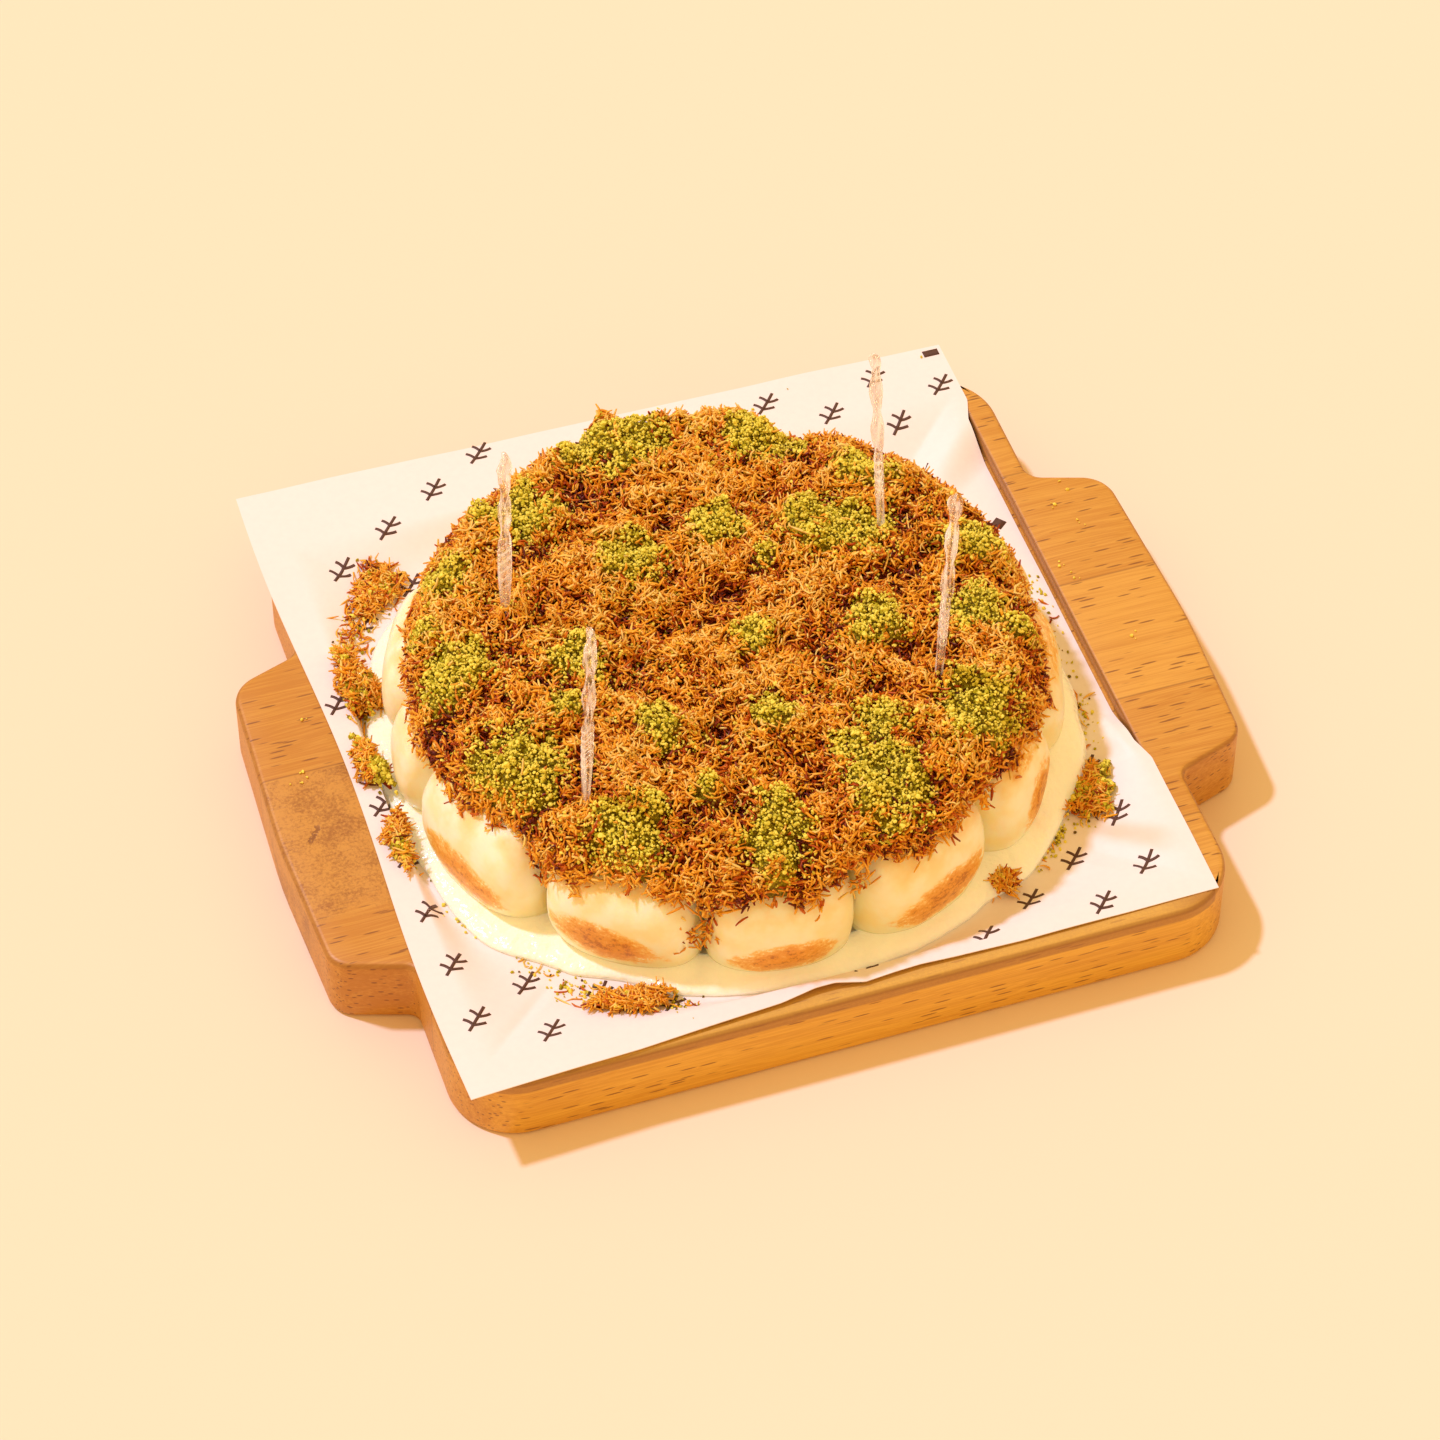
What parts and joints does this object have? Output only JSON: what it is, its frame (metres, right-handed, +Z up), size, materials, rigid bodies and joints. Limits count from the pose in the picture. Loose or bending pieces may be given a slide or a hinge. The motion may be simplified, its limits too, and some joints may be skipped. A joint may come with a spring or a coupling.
{
  "type": "pull-apart kunafa bun cake on a serving board",
  "caption": "Round cake of soft buns under toasted kataifi shreds and ground pistachio, with cream, clear picks, paper sheet and handled wooden board.",
  "frame": {"origin": "middle of the board's underside", "axes": "+X through the board's handles to the right, +Y to the back of the board, +Z up"},
  "size_m": [0.3392, 0.293, 0.169],
  "materials": {
    "beech": "oiled beech in glued staves",
    "greaseproof": "smooth greaseproof paper",
    "cream": "wet pouring cream",
    "bread": "soft pale bun with browned sides",
    "inner_bread": "soft pale bun",
    "toasted_shreds": "toasted pastry shreds with ground pistachio",
    "fallen_shreds": "loose pastry shreds and ground pistachio",
    "clear_plastic": "clear moulded plastic"
  },
  "bodies": {
    "root": {"board": "beech", "paper": "greaseproof", "cream": "cream", "inner_buns": "inner_bread", "topping": "toasted_shreds", "bun_01": "bread", "bun_02": "bread", "bun_03": "bread", "bun_04": "bread", "bun_05": "bread", "bun_06": "bread", "bun_07": "bread", "bun_08": "bread", "bun_09": "bread", "bun_10": "bread", "bun_11": "bread", "bun_12": "bread", "bun_13": "bread", "clump_left": "fallen_shreds", "clump_left_middle": "fallen_shreds", "clump_left_front": "fallen_shreds", "clump_left_back": "fallen_shreds", "clump_front": "fallen_shreds", "clump_in_cream": "fallen_shreds", "clump_right": "fallen_shreds", "pick_1": "clear_plastic", "pick_2": "clear_plastic", "pick_3": "clear_plastic", "pick_4": "clear_plastic"}
  },
  "joints": []
}
